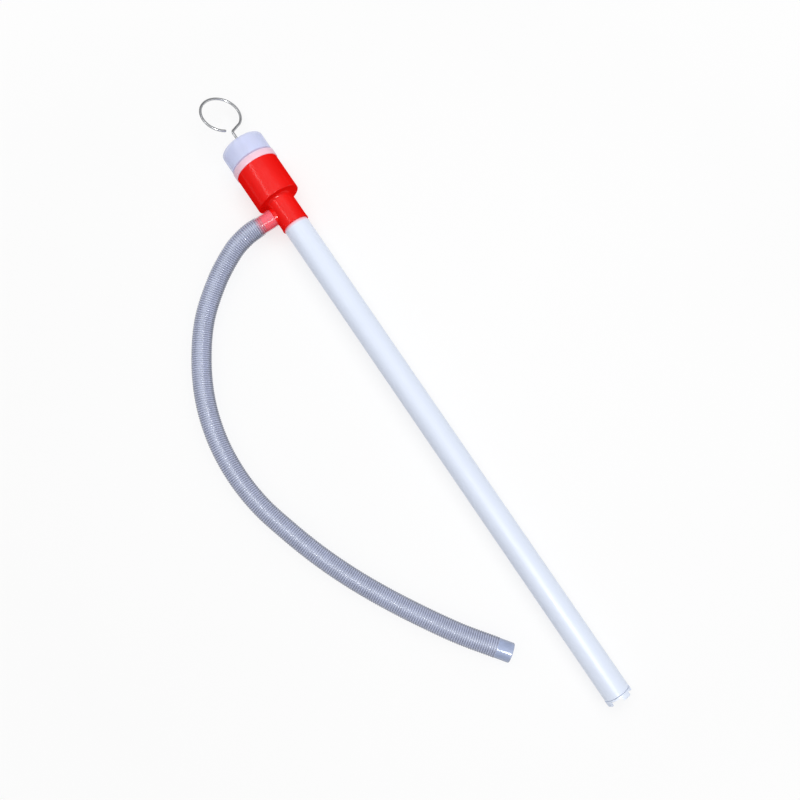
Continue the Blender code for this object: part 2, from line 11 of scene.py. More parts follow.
import bmesh
import bpy
import numpy as np
from mathutils import Matrix, Vector


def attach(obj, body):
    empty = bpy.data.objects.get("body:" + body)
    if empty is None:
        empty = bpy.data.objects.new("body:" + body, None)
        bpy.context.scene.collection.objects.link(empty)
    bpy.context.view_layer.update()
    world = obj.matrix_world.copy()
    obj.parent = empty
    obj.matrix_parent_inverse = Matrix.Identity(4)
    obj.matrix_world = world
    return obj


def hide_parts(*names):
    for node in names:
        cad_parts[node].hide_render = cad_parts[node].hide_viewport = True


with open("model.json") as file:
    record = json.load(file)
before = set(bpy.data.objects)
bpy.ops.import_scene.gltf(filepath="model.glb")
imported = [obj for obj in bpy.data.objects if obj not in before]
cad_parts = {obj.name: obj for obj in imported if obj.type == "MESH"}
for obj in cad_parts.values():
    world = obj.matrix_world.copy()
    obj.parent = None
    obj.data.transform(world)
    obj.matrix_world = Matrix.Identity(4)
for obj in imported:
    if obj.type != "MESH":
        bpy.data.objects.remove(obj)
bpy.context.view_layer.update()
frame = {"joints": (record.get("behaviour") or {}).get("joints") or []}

MM = 0.001
GAP = 0.3

# Barrel tube, with the height of the painted red reflection of the neck on the tube just under it
TUBE_RADIUS = 12.5
TUBE_BORE = 11.0
TUBE_TOP = 527.6
RED_REFLECTION_HEIGHT = 3.2

# Pump head
NECK_FOOT = 516.0
NECK_RADIUS = 13.45
NECK_LIP_RADIUS = 13.7
NECK_LIP_HEIGHT = 1.8
SOCKET_RADIUS = 12.65
SOCKET_TOP = 528.0
THROAT_RADIUS = 10.3
SHOULDER = 545.6
SHOULDER_ROUND = 1.0
NECK_FILLET = 3.0
CHAMBER_RADIUS = 21.65
CHAMBER_BORE = 19.85
CHAMBER_FLOOR = 547.4
RIM_RADIUS = 21.1
RIM_FOOT = 582.4
RIM_TOP = 587.6

# Spigot and its boss, along local X
SPIGOT_HEIGHT = 533.7
SPIGOT_RADIUS = 7.8
SPIGOT_BORE = 5.5
SPIGOT_ROOT = 2.0
SPIGOT_END = 31.4
BOSS_RADIUS = 8.8
BOSS_END = 13.5

# Cap
SKIRT_FOOT = 582.7
SKIRT_RADIUS = 22.4
SKIRT_BORE = 21.4
SKIRT_STEP = 589.2
CAP_STEP = 589.5
CAP_RADIUS = 21.8
CAP_BORE = 20.1
CAP_TOP = 610.0
CAP_INNER_TOP = 608.4
CAP_HOLE = 3.2
GROOVE_INSET = 0.2
GROOVE_HEIGHT = 0.4
GROOVE_DEPTH = 0.35
COLLAR_RADIUS = 4.8
COLLAR_HEIGHT = 1.0
GASKET_THICKNESS = 1.0

# The cap's tones, by height over its step: where the thin skirt's painted red glow of the rim inside
# blends into the wall's tone, and where the painted shade in the groove grows and fades
SKIRT_BLENDS = (-0.4, 0.4)
GROOVE_SHADE_GROWS = (-0.7, 0.3)
GROOVE_SHADE_FADES = (1.0, 2.0)

# Pull rod and finger ring
ROD_RADIUS = 1.25
ROD_HOLE = 1.35
ROD_FOOT = 33.0
THREAD_TOP = 56.0
THREAD_PITCH = 0.45
THREAD_DEPTH = 0.16
ROWS_PER_THREAD = 6
ROD_END_CUT = 0.35
ROD_BEND = 627.4
BEND_CORNER = 2.6
BEND_RISE = math.radians(20)
RING_CENTRE = 647.6
RING_HALF_LENGTH = 18.5
RING_HALF_WIDTH = 20.0
RING_TURN = math.radians(30)
RING_START = math.radians(38)
RING_END = math.radians(344)

# Foot plug and foot valve
FLANGE_RADIUS = 12.8
FLANGE_FOOT = -1.9
LUG_FOOT = -5.4
LUG_INNER = 10.6
LUG_GAP = 11.4
LUG_TURN = math.radians(66)
PLUG_RADIUS = 10.75
PLUG_TOP = 13.3
INLET_RADIUS = 8.0
SEAT_LEDGE = 10.7
SEAT_RECESS = 8.6
SEAT_RADIUS = 8.3
SEAT_BORE = 5.2
SEAT_CHAMFER = 0.9
SEAT_CONE_FOOT = 8.7
SEAT_CONE_TOP = 9.7
WEB_THICKNESS = 1.4
WEB_HEIGHT = 2.5
WEB_INSET = 0.6
BALL_RADIUS = 7.0
BALL_HEIGHT = 17.3
CAGE_RADIUS = 10.5
CAGE_BORE = 8.8
CAGE_TOP_HOLE = 5.0
CAGE_PLATE_FOOT = 27.3
CAGE_PLATE_TOP = 28.8
CAGE_WINDOW = 9.0
CAGE_BASE_BAND = 1.7
CAGE_TOP_BAND = 0.8

# Piston stack
LOCK_NUT_FOOT = 34.0
NUT_HEIGHT = 2.0
NUT_FLATS = 5.0
NUT_BORE = 1.4
NUT_FACE = 0.96
NUT_SLOPE = 0.7
NUT_CONE_EXCESS = 0.6
WASHER_RADIUS = 4.0
WASHER_THICKNESS = 0.7
PISTON_FOOT = 39.6
PISTON_RADIUS = 9.8
PISTON_PLATE = 2.8
HUB_RADIUS = 3.4
HUB_TOP = 45.5
CUP_BASE = 1.2
CUP_LIP_RADIUS = 10.88
CUP_LIP_TOP = 49.5
CUP_LIP_THICKNESS = 1.0
CUP_HEEL = 1.5
CUP_BODY_HEIGHT = 3.5
SPREADER_RADIUS = 9.0
DISC_RADIUS = 8.4
DISC_BORE = 2.6
DISC_THICKNESS = 1.0
SPACER_RADIUS = 2.4
SPACER_HEIGHT = 4.0
PORT_COUNT = 6
PORT_RADIUS = 1.5
PORT_CIRCLE = 6.2

# Hose
HOSE_RADIUS = 9.5
HOSE_WALL = 0.8
RIB_DEPTH = 0.55
RIB_PITCH = 2.1
CUFF_RADIUS = 8.8
CUFF_BORE = 8.1
CUFF_START = 13.8
CUFF_END = 31.9
SMOOTH_CUFF_END = 25.5
HOSE_LEAD = 1.2
END_CUFF_RADIUS = 9.1
END_CUFF_BORE = 7.9
END_CUFF_LENGTH = 14.2

# The rounding of the hose's ends, the rows of its mesh, and how far it blends at the spigot's end
HOSE_LIP_REACH = 0.8
HOSE_LIP_ROUND = 0.45
HOSE_LIP_FLARE = 0.15
RIB_FULLNESS = 0.65
ROWS_PER_RIB = 10
SPIGOT_COVER = 8.0
SPIGOT_FADE = 7.0

# The hose's route over the floor: world X, Y and height of its middle, in metres
HOSE_ROUTE = [
    (0.2012, 0.0435, 0.0213),
    (0.1964, 0.0600, 0.0194),
    (0.1828, 0.0863, 0.0148),
    (0.1598, 0.1157, 0.0103),
    (0.1295, 0.1388, 0.00965),
    (0.0959, 0.1562, 0.00965),
    (0.0598, 0.1668, 0.00965),
    (0.0227, 0.1704, 0.00965),
    (-0.0141, 0.1674, 0.00965),
    (-0.0496, 0.1585, 0.00965),
    (-0.0842, 0.1473, 0.00965),
    (-0.1177, 0.1336, 0.00965),
    (-0.1499, 0.1177, 0.00965),
    (-0.1811, 0.1002, 0.00965),
    (-0.2114, 0.0815, 0.00965),
    (-0.2396, 0.0612, 0.00965),
]

# Camera: its place, the way it looks, the way to its right, and its lens
CAMERA_PLACE = (-0.10717, 0.07680, 0.83982)
CAMERA_AIM = (0.11973, -0.08320, -0.98931)
CAMERA_RIGHT = (-0.56095, -0.82788, 0.00174)
CAMERA_LENS = 40.65

# Floor: its half side and its drop under the pump
FLOOR_HALF = 12.0
FLOOR_DROP = 0.0002

# The floor is a light table. Its own light grows from the first value to the second between
# the two distances from its middle.
NEAR_GLOW = 0.705
FAR_GLOW = 0.94
NEAR_REACH = 0.4
FAR_REACH = 3.0

# The studio's sky: the way to its brightest part, its light by how far a way leans to that one,
# and how bright it looks
SKY_BRIGHT_WAY = (0.0, 0.0, 1.0)
SKY_DARK_LEAN = -0.1
SKY_BRIGHT_LEAN = 0.9
SKY_DARK = 0.08
SKY_BRIGHT = 0.55
SKY_SEEN = 0.95

# Sides of a turned piece, large and small, of a cut hole, of the rod and of the hose
TURN_STEPS = 96
FINE_STEPS = 64
SPIGOT_BORE_STEPS = 48
NUT_BORE_STEPS = 32
PORT_STEPS = 24
ROD_SIDES = 24
HOSE_SIDES = 40


# ---------------------------------------------------------------- the pump's own frame


def pump_matrix():
    """The pump's frame in the world, from the axis of the swivel joint at the piston's foot."""
    joint = next(j for j in frame["joints"] if j["name"] == "rod_turn")
    along = Vector(joint["axis"]).normalized()
    foot = Vector(joint["pos_m"]) - along * PISTON_FOOT * MM
    side = Vector((0.0, 1.0, 0.0))
    up = along.cross(side)
    matrix = Matrix((side, up, along)).transposed().to_4x4()
    matrix.translation = foot
    return matrix


PUMP = pump_matrix()
SCALE = Matrix.Scale(MM, 4)


def in_world(point_mm):
    """A point of the pump's own frame, in the world, in metres."""
    return PUMP @ (Vector(point_mm) * MM)


# ---------------------------------------------------------------- mesh helpers


def mesh_object(name, vertices, faces, matrix):
    """An object in the scene from vertices and faces, with the matrix worked into its mesh."""
    mesh = bpy.data.meshes.new(name)
    mesh.from_pydata([tuple(v) for v in vertices], [], faces)
    mesh.transform(matrix)
    mesh.update()
    obj = bpy.data.objects.new(name, mesh)
    bpy.context.scene.collection.objects.link(obj)
    return obj


def rounded(outline, steps=5, closed=True):
    """An outline of (radius, height, round) points, with each corner that has a round cut to an arc."""
    points = []
    count = len(outline)
    for i, (x, z, bend) in enumerate(outline):
        corner = Vector((x, z))
        if bend == 0 or (not closed and i in (0, count - 1)):
            points.append((x, z))
            continue
        before = Vector(outline[i - 1][:2]) - corner
        after = Vector(outline[(i + 1) % count][:2]) - corner
        before.normalize()
        after.normalize()
        angle = before.angle(after)
        reach = bend / math.tan(angle / 2)
        centre = corner + (before + after).normalized() * bend / math.sin(angle / 2)
        start = corner + before * reach - centre
        end = corner + after * reach - centre
        turn = math.copysign(start.angle(end), start.x * end.y - start.y * end.x)
        for k in range(steps + 1):
            a = turn * k / steps
            cos, sin = math.cos(a), math.sin(a)
            point = (start.x * cos - start.y * sin, start.x * sin + start.y * cos)
            points.append((centre.x + point[0], centre.y + point[1]))
    return points


def lathe(name, outline, steps=TURN_STEPS, closed=True, spin=None):
    """An outline turned about the barrel's axis, or about spin. It runs down its outer side."""
    vertices = []
    for radius, height in outline:
        for j in range(steps):
            a = 2 * math.pi * j / steps
            vertices.append((radius * math.cos(a), radius * math.sin(a), height))
    faces = []
    rows = len(outline)
    for i in range(rows if closed else rows - 1):
        upper, lower = i * steps, (i + 1) % rows * steps
        for j in range(steps):
            k = (j + 1) % steps
            faces.append((upper + j, lower + j, lower + k, upper + k))
    matrix = PUMP @ SCALE
    if spin is not None:
        matrix = matrix @ spin
    obj = mesh_object(name, vertices, faces, matrix)
    if not closed:
        shape = bmesh.new()
        shape.from_mesh(obj.data)
        bmesh.ops.remove_doubles(shape, verts=shape.verts, dist=1e-6)
        shape.to_mesh(obj.data)
        shape.free()
    return obj


def block(name, size, centre, turn):
    """A plain box for cutting, in the pump's frame, turned about the barrel."""
    vertices = [(x, y, z) for x in (-0.5, 0.5) for y in (-0.5, 0.5) for z in (-0.5, 0.5)]
    faces = [(0, 1, 3, 2), (4, 6, 7, 5), (0, 4, 5, 1), (2, 3, 7, 6), (0, 2, 6, 4), (1, 5, 7, 3)]
    place = Matrix.Translation(centre) @ Matrix.Rotation(turn, 4, "Z") @ Matrix.Diagonal((*size, 1))
    return mesh_object(name, vertices, faces, PUMP @ SCALE @ place)


def rod_form(name, radius, foot, top, steps, place=(0.0, 0.0)):
    """A plain closed cylinder for cutting, along the barrel's axis."""
    outline = [(0.0, top), (radius, top), (radius, foot), (0.0, foot)]
    spin = Matrix.Translation((*place, 0.0))
    return lathe(name, outline, steps, closed=False, spin=spin)


def combine(obj, tool, operation):
    """Applies a Boolean to obj and removes the tool."""
    modifier = obj.modifiers.new("form", "BOOLEAN")
    modifier.operation = operation
    modifier.solver = "EXACT"
    modifier.object = tool
    bpy.context.view_layer.update()
    evaluated = obj.evaluated_get(bpy.context.evaluated_depsgraph_get())
    mesh = bpy.data.meshes.new_from_object(evaluated)
    obj.modifiers.clear()
    obj.data = mesh
    tool_mesh = tool.data
    bpy.data.objects.remove(tool)
    bpy.data.meshes.remove(tool_mesh)


def smooth(obj, sharp_degrees=32):
    """Shades a piece smooth, apart from its edges sharper than the angle."""
    obj.data.shade_smooth()
    obj.data.set_sharp_from_angle(angle=math.radians(sharp_degrees))


def dress(obj, body, slot, material, *nodes):
    """Gives a piece its material, puts it on its body and hides the CAD nodes that it stands for."""
    obj.data.materials.clear()
    obj.data.materials.append(material)
    smooth(obj)
    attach(obj, body)
    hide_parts(*nodes)


def sweep(name, centres, reference, rows, sides, closed):
    """A surface along a line of centres. A row is (index of its centre, radius or radii round it)."""
    centres = np.asarray(centres, float)
    tangents = np.gradient(centres, axis=0)
    tangents /= np.linalg.norm(tangents, axis=1)[:, None]
    across = np.cross(np.asarray(reference, float), tangents)
    across /= np.linalg.norm(across, axis=1)[:, None]
    upward = np.cross(tangents, across)
    angles = np.arange(sides) * 2 * np.pi / sides
    vertices = []
    for index, radius in rows:
        ring = np.cos(angles)[:, None] * across[index] + np.sin(angles)[:, None] * upward[index]
        vertices.append(centres[index] + ring * np.broadcast_to(radius, sides)[:, None])
    vertices = np.concatenate(vertices)
    faces = []
    count = len(rows)
    for i in range(count if closed else count - 1):
        near, far = i * sides, (i + 1) % count * sides
        for j in range(sides):
            k = (j + 1) % sides
            faces.append((near + j, near + k, far + k, far + j))
    if not closed:
        faces.append(tuple(range(sides))[::-1])
        faces.append(tuple(range((count - 1) * sides, count * sides)))
    return mesh_object(name, vertices, faces, Matrix.Identity(4))


def smooth_curve(points, way_out, spacing):
    """Evenly spaced points on a Catmull-Rom curve through the points, leaving along way_out."""
    first_step = (points[1] - points[0]).length
    ends = [points[1] - 2 * first_step * way_out] + points + [2 * points[-1] - points[-2]]
    fine = []
    pieces = 40
    for i in range(1, len(ends) - 2):
        before, start, end, after = ends[i - 1 : i + 3]
        for k in range(pieces):
            t = k / pieces
            slope_start = (end - before) / 2
            slope_end = (after - start) / 2
            fine.append(
                (2 * t**3 - 3 * t**2 + 1) * start
                + (t**3 - 2 * t**2 + t) * slope_start
                + (3 * t**2 - 2 * t**3) * end
                + (t**3 - t**2) * slope_end
            )
    fine.append(points[-1])
    fine = np.array(fine)
    return resample(fine, spacing)


def resample(points, spacing):
    """Evenly spaced points on a polyline."""
    points = np.asarray(points, float)
    steps = np.linalg.norm(np.diff(points, axis=0), axis=1)
    lengths = np.concatenate([[0.0], np.cumsum(steps)])
    count = round(lengths[-1] / spacing)
    targets = np.linspace(0.0, lengths[-1], count + 1)
    return np.stack([np.interp(targets, lengths, points[:, k]) for k in range(3)], axis=1)


# ---------------------------------------------------------------- materials


class Nodes:
    """A material's node tree, with its Principled shader and short ways to add to it."""

    def __init__(self, name):
        self.material = bpy.data.materials.new(name)
        self.material.use_nodes = True
        self.tree = self.material.node_tree
        self.shader = self.tree.nodes["Principled BSDF"]
        self.place = self.add("ShaderNodeTexCoord").outputs["Object"]

    def add(self, kind, **inputs):
        """A new node with these inputs, each a value or a socket."""
        node = self.tree.nodes.new(kind)
        for key, value in inputs.items():
            self.set(node.inputs[key], value)
        return node

    def set(self, socket, value):
        if isinstance(value, bpy.types.NodeSocket):
            self.tree.links.new(value, socket)
        else:
            socket.default_value = value

    def stretched(self, scale):
        """The place in the piece, scaled by axis."""
        node = self.add("ShaderNodeMapping", Vector=self.place, Scale=scale)
        return node.outputs["Vector"]

    def noise(self, scale, detail=3.0, place=None):
        """Cloudy noise, mostly between 0.3 and 0.7."""
        node = self.add("ShaderNodeTexNoise", Vector=place or self.place, Scale=scale, Detail=detail)
        return node.outputs["Fac"]

    def span(self, value, low, high, start=0.3, end=0.7):
        """Goes from low to high as the value goes from start to end, and no further."""
        node = self.add("ShaderNodeMapRange", Value=value)
        node.inputs["From Min"].default_value = start
        node.inputs["From Max"].default_value = end
        node.inputs["To Min"].default_value = low
        node.inputs["To Max"].default_value = high
        return node.outputs["Result"]

    def mix(self, factor, first, second):
        """A blend of two colours."""
        node = self.tree.nodes.new("ShaderNodeMix")
        node.data_type = "RGBA"
        self.set(node.inputs[0], factor)
        self.set(node.inputs[6], first)
        self.set(node.inputs[7], second)
        return node.outputs[2]

    def painted(self, name):
        """A value that the mesh carries at its points."""
        node = self.tree.nodes.new("ShaderNodeAttribute")
        node.attribute_name = name
        return node.outputs["Fac"]

    def height(self):
        """The height up the pump from the tube's foot, in metres, whatever the pose."""
        up = PUMP.to_3x3() @ Vector((0.0, 0.0, 1.0))
        node = self.add("ShaderNodeVectorMath", Vector=self.place)
        node.operation = "DOT_PRODUCT"
        node.inputs[1].default_value = up
        from_foot = self.add("ShaderNodeMath", Value=node.outputs["Value"])
        from_foot.operation = "SUBTRACT"
        from_foot.inputs[1].default_value = up.dot(in_world((0.0, 0.0, 0.0)))
        return from_foot.outputs["Value"]

    def bump(self, height, depth, strength=1.0, below=None):
        """A normal for relief of this depth in millimetres, on top of another normal if given."""
        node = self.add("ShaderNodeBump", Height=height, Distance=depth * MM, Strength=strength)
        if below is not None:
            self.set(node.inputs["Normal"], below)
        return node.outputs["Normal"]

    def finish(self, **inputs):
        """Sets the shader's inputs and gives the material."""
        for key, value in inputs.items():
            self.set(self.shader.inputs[key.replace("_", " ")], value)
        return self.material


def shade(colour, factor):
    """A colour made lighter or darker, with its alpha."""
    return (*[min(1.0, c * factor) for c in colour], 1.0)


def moulded_surface(n, roughness, gloss, depth):
    """Shader inputs for an uneven polish, an orange peel, and a gloss that fades to the edges."""
    polish = n.span(n.noise(240.0, 2.0), roughness * 0.9, roughness * 1.12)
    peel = n.bump(n.noise(900.0, 2.0), depth)
    waves = n.bump(n.noise(70.0, 2.0), depth, 0.4, peel)
    edge = n.add("ShaderNodeLayerWeight", Blend=0.5).outputs["Facing"]
    level = n.span(edge, gloss, 0.0, 0.1, 0.42)
    return {"Roughness": polish, "Normal": waves, "IOR": 1.5, "Specular_IOR_Level": level}


def moulded_plastic(name, colour, roughness, gloss=0.5, depth=0.006, deep=0.96):
    """Injection-moulded plastic with faint flow clouds, which are deep times its colour at most."""
    n = Nodes(name)
    clouds = n.noise(60.0, 4.0)
    tint = n.mix(n.span(clouds, 0.0, 1.0), shade(colour, deep), shade(colour, 1.03))
    return n.finish(Base_Color=tint, **moulded_surface(n, roughness, gloss, depth))


def milky_plastic(name, colour, red_glow_colour, groove_shade_colour):
    """Milky moulded plastic. Its thinner skirt carries a painted red glow of the rim inside it, and its
    groove a painted shade.
    """
    n = Nodes(name)
    height = n.height()

    def by_height(low, high, reach):
        """From low to high between two heights over the cap's step."""
        return n.span(height, low, high, *[CAP_STEP * MM + h * MM for h in reach])

    # The thin skirt is more opaque, and its pink tint is a painted red glow of the rim lit through it
    thin_skirt_red_glow = by_height(1.0, 0.0, SKIRT_BLENDS)
    clouds = n.noise(60.0, 4.0)
    wall = n.mix(n.span(clouds, 0.0, 1.0), shade(colour, 0.95), shade(colour, 1.02))
    skirt_red_glow = n.mix(n.span(clouds, 0.0, 1.0), shade(red_glow_colour, 0.97), shade(red_glow_colour, 1.02))
    tint = n.mix(thin_skirt_red_glow, wall, skirt_red_glow)
    # Painted shade in the groove just over the cap's step
    groove_shade = n.add("ShaderNodeMath", Value=by_height(0.0, 1.0, GROOVE_SHADE_GROWS))
    groove_shade.operation = "MULTIPLY"
    n.set(groove_shade.inputs[1], by_height(1.0, 0.0, GROOVE_SHADE_FADES))
    tint = n.mix(groove_shade.outputs["Value"], tint, shade(groove_shade_colour, 1.0))
    wall_alpha, skirt_alpha = 0.6, 0.74
    return n.finish(Base_Color=tint, Alpha=n.span(thin_skirt_red_glow, wall_alpha, skirt_alpha, 0.0, 1.0),
                    **moulded_surface(n, 0.34, 0.4, 0.006))


def extruded_plastic(name, colour, red_reflection, roughness, along):
    """Extruded tube: fine lines along its length, slow changes of tone, and a painted red reflection of
    the neck on the tube just under it.
    """
    n = Nodes(name)
    lines = n.noise(1.0, 3.0, n.stretched(along))
    clouds = n.noise(9.0, 3.0)
    tone = n.mix(n.span(clouds, 0.0, 1.0), shade(colour, 0.965), shade(colour, 1.01))
    tint = n.mix(n.span(lines, 0.0, 0.3), tone, shade(colour, 0.93))
    # Painted red reflection of the neck, on the tube just under it
    edge = (NECK_FOOT - RED_REFLECTION_HEIGHT) * MM
    tint = n.mix(n.span(n.height(), 0.0, 1.0, edge, NECK_FOOT * MM), tint, shade(red_reflection, 1.0))
    polish = n.span(lines, roughness * 0.85, roughness * 1.2)
    grooves = n.bump(lines, 0.03, 0.6)
    return n.finish(Base_Color=tint, Roughness=polish, Normal=grooves, IOR=1.48)


def rubber(name, colour):
    """Moulded rubber: matt, with a dusty bloom."""
    n = Nodes(name)
    bloom = n.noise(180.0, 5.0)
    tint = n.mix(n.span(bloom, 0.0, 1.0), shade(colour, 1.0), shade(colour, 2.2))
    polish = n.span(n.noise(500.0, 3.0), 0.55, 0.8)
    grain = n.bump(n.noise(1500.0, 3.0), 0.03)
    return n.finish(Base_Color=tint, Roughness=polish, Normal=grain)


def drawn_metal(name, colour, roughness, scale, depth=0.01, painted_edge_shade=1.0):
    """Bright metal with fine scratches, and painted shade along its edges, where its colour falls to a
    given factor of itself.
    """
    n = Nodes(name)
    scratches = n.noise(1.0, 4.0, n.stretched(scale))
    spots = n.noise(120.0, 3.0)
    tint = n.mix(n.span(spots, 0.0, 1.0), shade(colour, 0.86), shade(colour, 1.05))
    edge = n.add("ShaderNodeLayerWeight", Blend=0.5).outputs["Facing"]
    # Painted shade along the edges: the colour darkens as the surface turns away
    tint = n.mix(n.span(edge, 0.0, 1.0, 0.25, 0.75), tint, shade(colour, painted_edge_shade))
    polish = n.span(scratches, roughness * 0.7, roughness * 1.4)
    lines = n.bump(scratches, depth, 0.5)
    return n.finish(Base_Color=tint, Roughness=polish, Normal=lines, Metallic=1.0)


RED = moulded_plastic("red_plastic_look", (0.86, 0.008, 0.006), roughness=0.2, gloss=0.34,
                      depth=0.002, deep=0.98)
PALE = extruded_plastic("pale_tube_look", (0.755, 0.82, 0.955), red_reflection=(0.96, 0.34, 0.40),
                        roughness=0.42, along=(14.0, 700.0, 700.0))
PALE_MOULDED = moulded_plastic("pale_moulded_look", (0.76, 0.82, 0.95), roughness=0.40)
# The cap's pink is a painted red glow of the rim inside its skirt, and its violet grey a painted shade
# in its groove
MILKY = milky_plastic("milky_plastic_look", (0.69, 0.735, 0.945), red_glow_colour=(0.94, 0.69, 0.80),
                      groove_shade_colour=(0.50, 0.40, 0.56))
NATURAL = moulded_plastic("natural_plastic_look", (0.70, 0.70, 0.66), roughness=0.42)
RUBBER = rubber("black_rubber_look", (0.018, 0.018, 0.02))
WIRE = drawn_metal("steel_wire_look", (0.74, 0.75, 0.78), roughness=0.24,
                   scale=(60.0, 1500.0, 1500.0), depth=0.006, painted_edge_shade=0.15)
ZINC = drawn_metal("zinc_steel_look", (0.62, 0.64, 0.68), roughness=0.34,
                   scale=(700.0, 700.0, 700.0))
BALL = drawn_metal("steel_ball_look", (0.66, 0.66, 0.68), roughness=0.10,
                   scale=(250.0, 250.0, 250.0), depth=0.004)


def hose_plastic(name, colour, painted_shade_colour, alpha, roughness, ior=1.5):
    """Clear soft plastic: cloudy, with painted shade in its valleys and down its sides, a painted
    highlight along its top and bottom, and clearest on the spigot.
    """
    n = Nodes(name)
    clouds = n.noise(70.0, 4.0)
    tone = n.mix(n.span(clouds, 0.0, 1.0), shade(colour, 0.9), shade(colour, 1.06))
    # Painted shade in the rib valleys
    valley = n.mix(n.span(n.painted("valley"), 0.0, 0.7, 0.0, 1.0), tone, shade(painted_shade_colour, 1.0))
    # Painted highlight along the hose's top and bottom, where the sides are farthest
    crown_highlight = n.mix(n.span(n.painted("flank"), 0.3, 0.0, 0.05, 0.45), valley, shade(colour, 1.6))
    # Painted shade down the hose's sides
    tint = n.mix(n.span(n.painted("flank"), 0.0, 0.75, 0.8, 1.0), crown_highlight, shade(painted_shade_colour, 1.0))
    polish = n.span(n.noise(300.0, 2.0), roughness * 0.8, roughness * 1.25)
    ripple = n.bump(n.noise(420.0, 3.0), 0.012, 0.6)
    see_through = n.span(n.painted("over_spigot"), alpha, 0.2, 0.0, 1.0)
    return n.finish(Base_Color=tint, Roughness=polish, Normal=ripple, Alpha=see_through, IOR=ior)


RIBBED = hose_plastic("hose_ribbed_look", (0.50, 0.54, 0.71), painted_shade_colour=(0.07, 0.08, 0.12),
                      alpha=0.8, roughness=0.22)
# Both cuffs are the hose's own clear plastic. The outlet cuff's pink is a painted red of the spigot lit
# through it, on top of the real red seen through its alpha. The end cuff's darker grey is a painted
# shade of its hollow inside.
OUTLET_CUFF_PAINTED_RED = hose_plastic("hose_outlet_cuff_look", (0.96, 0.36, 0.48), painted_shade_colour=(0.60, 0.12, 0.20),
                            alpha=0.32, roughness=0.45, ior=1.2)
END_CUFF_PAINTED_SHADE = hose_plastic("hose_end_cuff_look", (0.37, 0.43, 0.60), painted_shade_colour=(0.24, 0.27, 0.36),
                         alpha=0.8, roughness=0.16)


# ---------------------------------------------------------------- camera


def make_camera():
    back = -Vector(CAMERA_AIM).normalized()
    right = Vector(CAMERA_RIGHT)
    right = (right - back * right.dot(back)).normalized()
    up = back.cross(right)
    camera = bpy.data.cameras.new("camera")
    camera.lens = CAMERA_LENS
    camera.sensor_width = 36.0
    camera.clip_start = 0.01
    camera.clip_end = 100.0
    obj = bpy.data.objects.new("camera", camera)
    bpy.context.scene.collection.objects.link(obj)
    matrix = Matrix((right, up, back)).transposed().to_4x4()
    matrix.translation = Vector(CAMERA_PLACE)
    obj.matrix_world = matrix
    bpy.context.scene.camera = obj


make_camera()


# ---------------------------------------------------------------- hose


def hose_middle():
    """Evenly spaced points along the middle of the whole hose, from the spigot on."""
    step = RIB_PITCH / ROWS_PER_RIB * MM
    start = in_world((CUFF_START, 0.0, SPIGOT_HEIGHT))
    hose_start = in_world((CUFF_END + GAP, 0.0, SPIGOT_HEIGHT))
    lead_end = in_world((CUFF_END + GAP + HOSE_LEAD, 0.0, SPIGOT_HEIGHT))
    route = [Vector(point) for point in HOSE_ROUTE]
    way_out = (lead_end - hose_start).normalized()
    curve = smooth_curve([lead_end] + route, way_out, step)
    way = Vector(curve[-1] - curve[-2]).normalized()
    finish = Vector(curve[-1]) + way * (GAP + END_CUFF_LENGTH) * MM
    line = [start, hose_start] + [Vector(point) for point in curve] + [finish]
    return resample(line, step)


def hose_rings(centres):
    """For each ring of the hose: its outer radius, its bore's, how deep in a valley it is, if ribbed."""
    steps = np.linalg.norm(np.diff(centres, axis=0), axis=1)
    along = np.concatenate([[0.0], np.cumsum(steps)]) / MM
    total = along[-1]
    ribs_start = SMOOTH_CUFF_END - CUFF_START
    ribs_end = total - END_CUFF_LENGTH
    outer, bore, valley, ribbed = [], [], [], []
    for d in along:
        from_start, to_end = d - ribs_start, ribs_end - d
        phase = 2 * math.pi * from_start / RIB_PITCH
        crest = (0.5 - 0.5 * math.cos(phase)) ** RIB_FULLNESS
        inside = min(from_start, to_end)
        if inside <= 0:
            near_start = d < total / 2
            radius = CUFF_RADIUS if near_start else END_CUFF_RADIUS
            hole = CUFF_BORE if near_start else END_CUFF_BORE
            lip = max(0.0, 1.0 - min(d, total - d) / HOSE_LIP_REACH) ** 2
            radius -= HOSE_LIP_ROUND * lip
            hole += HOSE_LIP_FLARE * lip
            outer.append(radius)
            bore.append(hole)
            valley.append(0.0)
            ribbed.append(False)
            continue
        grow = min(1.0, from_start / (2.0 * RIB_PITCH))
        top = CUFF_RADIUS + (HOSE_RADIUS - CUFF_RADIUS) * grow
        depth = RIB_DEPTH * min(1.0, inside / RIB_PITCH + 0.4)
        radius = top - depth * (1.0 - crest)
        outer.append(radius)
        over_spigot = from_start < SPIGOT_COVER
        bore.append(max(CUFF_BORE, radius - HOSE_WALL) if over_spigot else radius - HOSE_WALL)
        valley.append(1.0 - crest)
        ribbed.append(True)
    return outer, bore, valley, ribbed


def paint(obj, name, values):
    """Stores a value at each point of a piece's mesh, for its material."""
    attribute = obj.data.attributes.new(name, "FLOAT", "POINT")
    attribute.data.foreach_set("value", np.asarray(values, np.float32))


